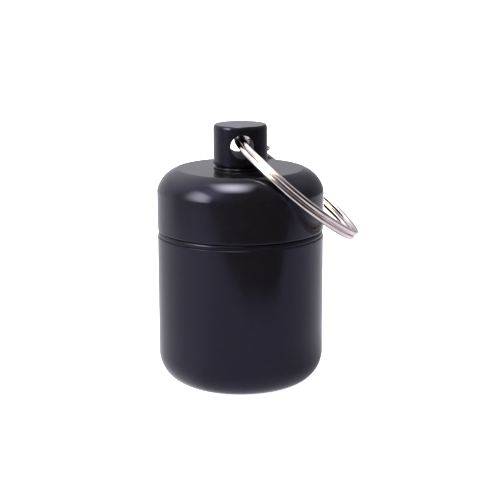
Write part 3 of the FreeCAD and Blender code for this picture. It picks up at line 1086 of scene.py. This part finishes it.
def studio_table():
    """What the object mirrors of the table: its light by bearing, its edge, and the object's own shade."""
    table = level_card("table_light", TABLE_REACH * MM)
    material, start = new_finish("table_light")
    place = place_in_millimetres(start)
    away = length_over(place, (1, 1, 0))
    edge = by_bearing(place, TABLE_EDGE, TABLE_REACH) * TABLE_REACH
    past_edge = (away / edge).between(*EDGE_FADE)
    shade_way = to_the_right * math.sin(SHADE_BEARING) + towards_viewer * math.cos(SHADE_BEARING)
    shaded_side = (along(place, shade_way) / away).between(0.0, 1.0)
    shade = shaded_side * SHADE_DEPTH * (1 - away.between(body_radius, SHADE_END))
    share = by_bearing(place, TABLE_LIGHT, TABLE_FULL) * (1 - shade)
    dark = start.node("ShaderNodeEmission", sockets={"Strength": 0.0})
    bright = start.node("ShaderNodeEmission", sockets={"Color": ROOM_TINT, "Strength": TABLE_FULL})
    clear = start.node("ShaderNodeBsdfTransparent")
    top = blended(past_edge, blended(share, dark, bright), clear)
    start.node("ShaderNodeOutputMaterial", sockets={"Surface": top})
    table.data.materials.append(material)
    table.visible_camera = False
    table.visible_diffuse = False
    table.visible_shadow = False


studio_table()
print("mirrored table with", len(TABLE_LIGHT), "stops of light and", len(TABLE_EDGE), "of edge")

# %% [markdown]
# ## Room
#
# Past the table's edge the object mirrors the room. Its upright sides mirror the low part of the room, and
# the shoulder mirrors the high part, so the world holds two lists of light and goes from the one to the
# other with height. Both are bright on the left, and nearly black towards the viewer and to the right of
# them, where nobody lights a studio: that makes the front of the object dark. The camera itself sees plain
# white paper.

# %% Draw the room
ROOM_FULL = 3.0
LOW_LIGHT = [
    (-180, 0.62),
    (-150, 0.84),
    (-112, 0.98),
    (-98, 0.65),
    (-77, 0.60),
    (-67, 0.84),
    (-57, 0.80),
    (-40, 0.28),
    (-23, 0.11),
    (7, 0.015),
    (52, 0.015),
    (97, 0.22),
    (160, 0.33),
    (180, 0.62),
]
HIGH_LIGHT = [
    (-180, 0.75),
    (-160, 1.30),
    (-112, 1.80),
    (-82, 1.60),
    (-55, 2.80),
    (-45, 2.60),
    (-22, 0.60),
    (10, 0.10),
    (52, 0.12),
    (82, 0.70),
    (127, 0.70),
    (150, 0.50),
    (180, 0.75),
]
RISE = (math.sin(math.radians(14)), math.sin(math.radians(48)))


def studio_room():
    """World with the room's light by direction, and plain white where the camera sees it."""
    world = bpy.data.worlds.new("studio")
    bpy.context.scene.world = world
    world.use_nodes = True
    world.node_tree.nodes.clear()
    start = Term(world.node_tree)
    direction = start.node("ShaderNodeTexCoord", output="Generated")
    low, high = (by_bearing(direction, levels, ROOM_FULL) for levels in (LOW_LIGHT, HIGH_LIGHT))
    share = low + (high - low) * along(direction, level_up).between(*RISE)
    dark = start.node("ShaderNodeBackground", sockets={"Strength": 0.0})
    bright = start.node("ShaderNodeBackground", sockets={"Color": ROOM_TINT, "Strength": ROOM_FULL})
    paper = start.node("ShaderNodeBackground", sockets={"Color": WHITE})
    seen = start.node("ShaderNodeLightPath", output="Is Camera Ray")
    room = blended(seen, blended(share, dark, bright), paper)
    start.node("ShaderNodeOutputWorld", sockets={"Surface": room})


studio_room()
print("room with", len(LOW_LIGHT), "stops of low light and", len(HIGH_LIGHT), "of high light")

# %% [markdown]
# ## Softboxes
#
# Two soft lights show as pale patches on the cap's shoulder: a strong one overhead, a little to the front
# and left, and a weaker one to the left. An area light would do, but it ends in a sharp line, and the
# patches fade out as a real softbox does. So each is a card that glows in its middle and turns clear
# towards its edges. The camera doesn't see the cards. All their sizes are shares of one distance from the
# shoulder, so they can be moved away together with hardly a change to the patches.

# %% Hang the softboxes
LAMP_COLOUR = (0.98, 1.0, 0.72, 1.0)
LAMP_DISTANCE = 0.5
OVERHEAD_PLACE = {"right": -0.13, "forward": 0.21, "up": 1.0}
OVERHEAD_HALF_SIDES = (0.42, 0.52)
OVERHEAD_FADES = (1.0, 1.0)
OVERHEAD_GLOW = 32.0
LEFT_PLACE = {"right": -1.0, "forward": 0.60, "up": 0.66}
LEFT_HALF_SIDES = (0.62, 0.54)
LEFT_FADES = (0.95, 0.75)
LEFT_GLOW = 17.0


def from_shoulder(right, forward, up):
    """Place that many lamp distances from the middle of the cap, at the shoulder's height."""
    way = to_the_right * right + towards_viewer * forward + level_up * up
    return level_up * shoulder_start * MM + way * LAMP_DISTANCE


def softbox(name, centre, half_sides, fades, glow):
    """A glowing card; fades are the shares of its half sides that turn clear at the edge."""
    card = plain_card(name, centre, *half_sides)
    material, start = new_finish(name)
    place = start.node("ShaderNodeTexCoord", output="Object")
    lit = []
    for half_side, fade in zip(half_sides, fades):
        axis = half_side / half_side.length_squared
        off_middle = start.math("ABSOLUTE", along(place, axis) - centre.dot(axis))
        lit.append(1 - off_middle.between(1 - fade, 1.0))
    light = start.node("ShaderNodeEmission", sockets={"Color": LAMP_COLOUR, "Strength": glow})
    clear = start.node("ShaderNodeBsdfTransparent")
    faded = blended(lit[0] * lit[1], clear, light)
    start.node("ShaderNodeOutputMaterial", sockets={"Surface": faded})
    card.data.materials.append(material)
    card.visible_camera = False


def scaled(ways, shares):
    """Directions with their lengths as shares of the lamp distance."""
    return [way * share * LAMP_DISTANCE for way, share in zip(ways, shares)]


overhead_sides = scaled((to_the_right, towards_viewer), OVERHEAD_HALF_SIDES)
left_sides = scaled((towards_viewer, level_up), LEFT_HALF_SIDES)
softbox("softbox_overhead", from_shoulder(**OVERHEAD_PLACE), overhead_sides, OVERHEAD_FADES, OVERHEAD_GLOW)
softbox("softbox_left", from_shoulder(**LEFT_PLACE), left_sides, LEFT_FADES, LEFT_GLOW)
bpy.context.scene.view_settings.view_transform = "Standard"
print("two softboxes hung", LAMP_DISTANCE, "m from the shoulder")
